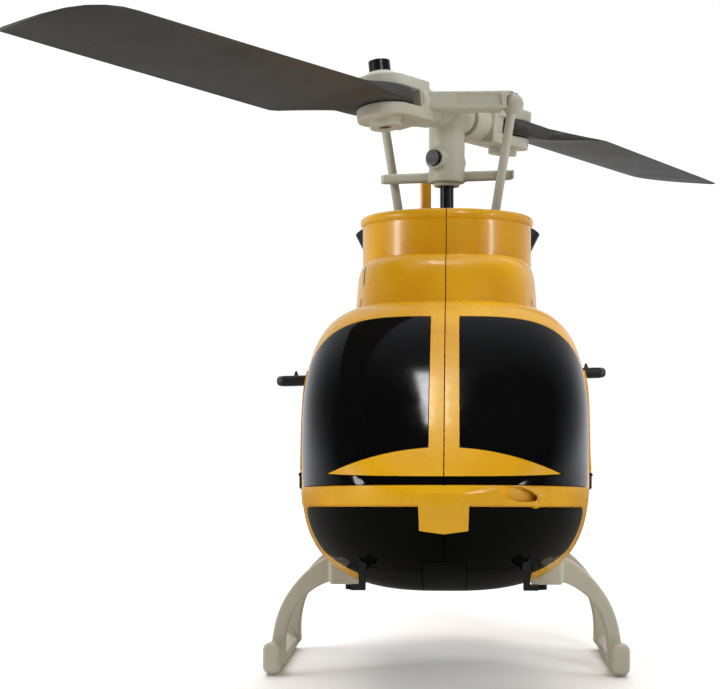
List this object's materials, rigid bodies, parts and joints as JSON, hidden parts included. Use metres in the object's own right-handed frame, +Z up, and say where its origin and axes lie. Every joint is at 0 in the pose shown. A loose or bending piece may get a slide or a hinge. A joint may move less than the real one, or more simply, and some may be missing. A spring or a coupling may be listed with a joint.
{
  "type": "toy helicopter",
  "caption": "Toy helicopter with a moulded two-half body, wrap-round windows, two-blade pitch-controlled rotor, tail rotor and skids.",
  "frame": {"origin": "on the ground plane, below the centre of the bounding box; the mast axis is 24.7 mm towards the nose from it", "axes": "+Z up, +Y from the nose to the tail, +X towards the pilot's left"},
  "size_m": [0.178, 0.2726, 0.1537],
  "materials": {
    "yellow_plastic": "glossy moulded",
    "black_gloss": "polished",
    "black_plastic": "satin moulded",
    "ivory_nylon": "satin moulded nylon",
    "blade_grey": "satin, fine moulding grain",
    "black_steel": "black oxide",
    "bright_steel": "turned",
    "brass": "turned",
    "battery_film": "shrink film",
    "circuit_board": "solder mask"
  },
  "bodies": {
    "airframe": {"band_hooks": "black_plastic", "battery": "battery_film", "bearing_lower": "bright_steel", "bearing_upper": "bright_steel", "belly_panel": "black_gloss", "chin_window_left": "black_gloss", "chin_window_right": "black_gloss", "control_board": "circuit_board", "exhaust_left": "black_plastic", "exhaust_right": "black_plastic", "fuselage_left": "yellow_plastic", "fuselage_right": "yellow_plastic", "gear_screws": "black_steel", "guide_post": "yellow_plastic", "landing_gear_left": "ivory_nylon", "landing_gear_right": "ivory_nylon", "main_frame": "black_plastic", "main_motor": "bright_steel", "nose_bumper": "yellow_plastic", "rear_window_left": "black_gloss", "rear_window_right": "black_gloss", "servo_left": "black_plastic", "servo_rear": "black_plastic", "servo_right": "black_plastic", "side_window_left": "black_gloss", "side_window_right": "black_gloss", "stabiliser": "black_plastic", "tail_boom": "yellow_plastic", "tail_fin": "yellow_plastic", "tail_motor": "bright_steel", "window_frame_left": "yellow_plastic", "window_frame_right": "yellow_plastic", "windscreen_left": "black_gloss", "windscreen_right": "black_gloss"},
    "rotor": {"main_shaft": "black_steel", "main_gear": "ivory_nylon", "shaft_collar": "black_steel", "rotor_hub": "ivory_nylon", "hub_bolt": "black_steel"},
    "motor_pinion": {"motor_pinion": "brass"},
    "swash_carrier": {"swash_sleeve": "brass", "swash_lower": "ivory_nylon", "servo_link_left": "ivory_nylon", "servo_link_right": "ivory_nylon", "servo_link_rear": "ivory_nylon"},
    "swash_rotating": {"swash_upper": "ivory_nylon", "link_rod_a": "ivory_nylon", "link_rod_b": "ivory_nylon"},
    "servo_arm_left": {"servo_arm_left": "ivory_nylon"},
    "servo_arm_right": {"servo_arm_right": "ivory_nylon"},
    "servo_arm_rear": {"servo_arm_rear": "ivory_nylon"},
    "grip_a": {"blade_grip_a": "ivory_nylon", "blade_bolt_a": "black_steel"},
    "grip_b": {"blade_grip_b": "ivory_nylon", "blade_bolt_b": "black_steel"},
    "blade_a": {"blade_a": "blade_grey"},
    "blade_b": {"blade_b": "blade_grey"},
    "tail_rotor": {"tail_rotor": "black_plastic"},
    "battery_hatch": {"battery_hatch": "black_gloss"}
  },
  "joints": [
    {"name": "rotor_spin", "type": "hinge", "parent": "airframe", "child": "rotor", "pos_m": [0, -0.02474, 0.1], "axis": [0, 0, 1], "continuous": true},
    {"name": "motor_spin", "type": "hinge", "parent": "airframe", "child": "motor_pinion", "pos_m": [0, -0.04723, 0.055], "axis": [0, 0, 1], "continuous": true},
    {"name": "collective", "type": "slide", "parent": "airframe", "child": "swash_carrier", "axis": [0, 0, 1], "range_m": [-0.0015, 0.0015]},
    {"name": "swash_spin", "type": "hinge", "parent": "swash_carrier", "child": "swash_rotating", "pos_m": [0, -0.02474, 0.094], "axis": [0, 0, 1], "continuous": true},
    {"name": "feather_a", "type": "hinge", "parent": "rotor", "child": "grip_a", "pos_m": [0, -0.02474, 0.1437], "axis": [-0.5635, -0.8261, 0], "range_deg": [-6, 6]},
    {"name": "feather_b", "type": "hinge", "parent": "rotor", "child": "grip_b", "pos_m": [0, -0.02474, 0.1437], "axis": [0.5635, 0.8261, 0], "range_deg": [-6, 6]},
    {"name": "blade_fold_a", "type": "hinge", "parent": "grip_a", "child": "blade_a", "pos_m": [-0.01601, -0.04468, 0.14345], "axis": [-0.1035, 0.0706, 0.9921], "range_deg": [-15, 15]},
    {"name": "blade_fold_b", "type": "hinge", "parent": "grip_b", "child": "blade_b", "pos_m": [0.01601, -0.00479, 0.14345], "axis": [0.1035, -0.0706, 0.9921], "range_deg": [-15, 15]},
    {"name": "tail_rotor_spin", "type": "hinge", "parent": "airframe", "child": "tail_rotor", "pos_m": [0.0105, 0.12226, 0.08], "axis": [1, 0, 0], "continuous": true},
    {"name": "battery_hatch_hinge", "type": "hinge", "parent": "airframe", "child": "battery_hatch", "pos_m": [0, -0.08674, 0.0242], "axis": [1, 0, 0], "range_deg": [0, 60]},
    {"name": "servo_left_turn", "type": "hinge", "parent": "airframe", "child": "servo_arm_left", "pos_m": [0.0119, -0.03274, 0.074], "axis": [1, 0, 0], "range_deg": [-12, 12]},
    {"name": "servo_right_turn", "type": "hinge", "parent": "airframe", "child": "servo_arm_right", "pos_m": [-0.0119, -0.01673, 0.074], "axis": [-1, 0, 0], "range_deg": [-12, 12]},
    {"name": "servo_rear_turn", "type": "hinge", "parent": "airframe", "child": "servo_arm_rear", "pos_m": [0.008, -0.01283, 0.074], "axis": [0, 1, 0], "range_deg": [-12, 12]}
  ],
  "couplings": [
    {"joint": "motor_spin", "follows": "rotor_spin", "ratio": -8},
    {"joint": "swash_spin", "follows": "rotor_spin", "ratio": 1},
    {"joint": "feather_a", "follows": "collective", "rad_per_m": 57.27},
    {"joint": "feather_b", "follows": "collective", "rad_per_m": 57.27},
    {"joint": "servo_left_turn", "follows": "collective", "rad_per_m": 125},
    {"joint": "servo_right_turn", "follows": "collective", "rad_per_m": 125},
    {"joint": "servo_rear_turn", "follows": "collective", "rad_per_m": 125}
  ]
}
